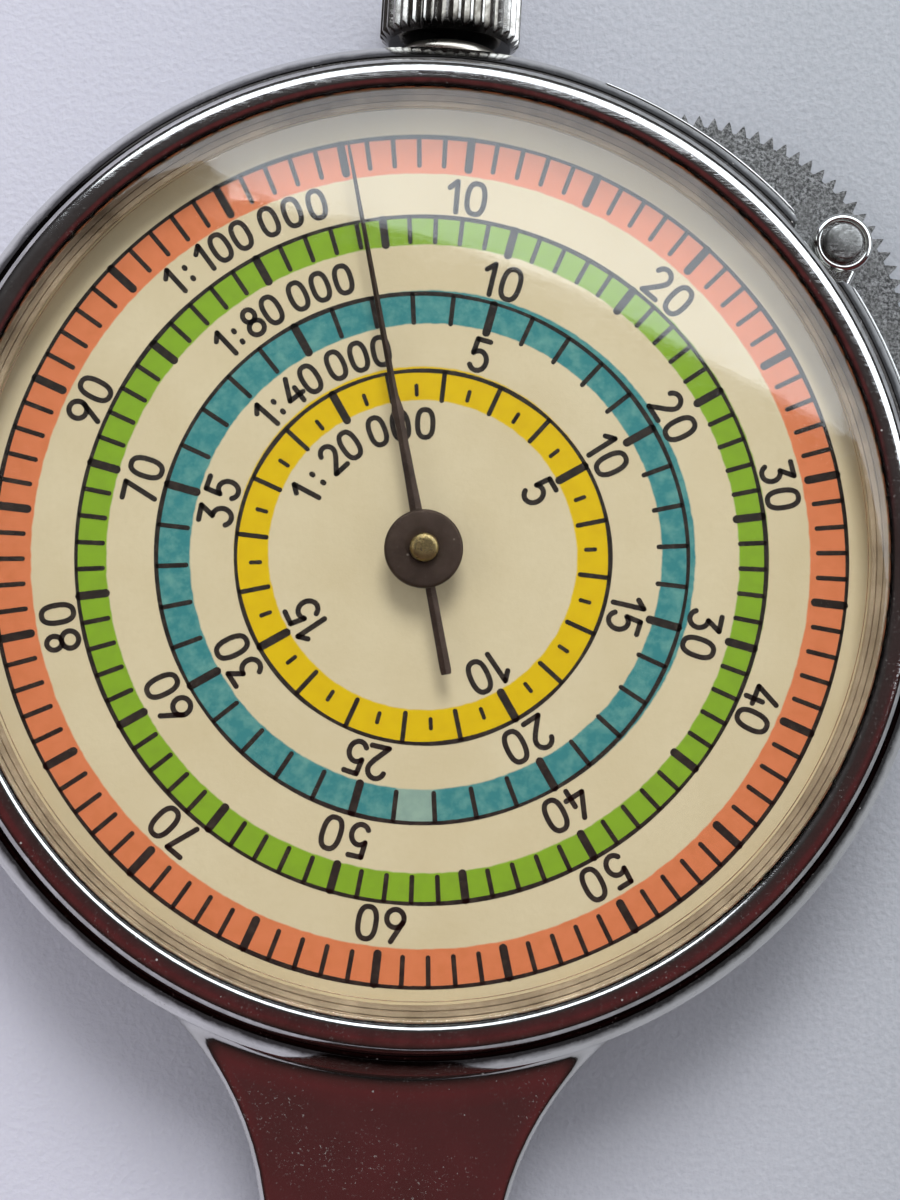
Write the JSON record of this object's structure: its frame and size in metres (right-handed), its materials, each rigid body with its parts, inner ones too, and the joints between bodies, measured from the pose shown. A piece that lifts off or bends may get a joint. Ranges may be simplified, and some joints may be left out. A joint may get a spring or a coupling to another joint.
{
  "type": "map measurer",
  "caption": "Watch-shaped map measurer with a toothed tracing wheel, geared pointer over a dial with coloured scale rings, fluted setting crown and flat handle.",
  "frame": {"origin": "on the dial's axis at the flat face that the back rests on", "axes": "+Z from the back to the dial, +Y from the dial's axis to the crown, the handle towards -Y, the tracing wheel on the +X, +Y side"},
  "size_m": [0.042, 0.0934, 0.0113],
  "materials": {
    "plated_metal": "polished nickel or chrome plate with fine scratches and dust",
    "crystal": "clear domed watch glass",
    "rehaut": "brown-grey satin ring",
    "dial_print": "cream printed card with orange, green, blue and yellow rings",
    "copper_pins": "turned copper",
    "brass": "stamped and turned brass",
    "steel": "turned steel",
    "arbor_metal": "dull olive-brown turned metal",
    "wheel_steel": "dull dark grey granular steel",
    "pointer_metal": "dark grey-brown oxidised metal"
  },
  "bodies": {
    "case": {"case_body": "plated_metal", "back_cover": "plated_metal", "bezel": "plated_metal", "crystal": "crystal", "rehaut_ring": "rehaut", "dial_plate": "brass", "dial_card": "dial_print", "dial_feet": "copper_pins", "front_plate": "brass", "back_plate": "brass", "pillars": "brass", "front_plate_screws": "steel", "back_plate_screws": "steel", "case_screws": "steel", "wheel_bushes": "brass", "intermediate_bushes": "brass", "centre_bushes": "brass", "crown_tube": "plated_metal", "stem_bearing": "brass", "stem_bearing_screws": "steel", "index_stud": "plated_metal"},
    "wheel_set": {"tracing_wheel": "wheel_steel", "wheel_hub": "brass", "wheel_arbor": "steel", "wheel_pinion": "brass"},
    "intermediate_set": {"intermediate_arbor": "steel", "intermediate_collet": "brass", "intermediate_gear": "brass", "intermediate_pinion": "brass"},
    "pointer_set": {"centre_arbor": "arbor_metal", "centre_gear": "brass", "centre_collet": "brass", "contrate_wheel": "brass", "pointer_hub": "pointer_metal", "pointer_needle": "pointer_metal"},
    "crown_set": {"crown": "plated_metal", "crown_stem": "steel", "stem_pinion": "steel", "stem_collar": "steel"}
  },
  "joints": [
    {"name": "tracing_wheel_spin", "type": "hinge", "parent": "case", "child": "wheel_set", "pos_m": [0.01042, 0.00968, 0.0031], "axis": [0, 0, 1], "continuous": true},
    {"name": "intermediate_spin", "type": "hinge", "parent": "case", "child": "intermediate_set", "pos_m": [0.00963, -0.00181, 0.0041], "axis": [0, 0, 1], "continuous": true},
    {"name": "pointer_spin", "type": "hinge", "parent": "case", "child": "pointer_set", "pos_m": [0, 0, 0.0084], "axis": [0, 0, 1], "continuous": true},
    {"name": "crown_turn", "type": "hinge", "parent": "case", "child": "crown_set", "pos_m": [0, 0.0221, 0.0045], "axis": [0, 1, 0], "continuous": true}
  ],
  "couplings": [
    {"joint": "intermediate_spin", "follows": "tracing_wheel_spin", "ratio": -0.4},
    {"joint": "pointer_spin", "follows": "tracing_wheel_spin", "ratio": 0.066667},
    {"joint": "crown_turn", "follows": "tracing_wheel_spin", "ratio": -0.33333}
  ]
}
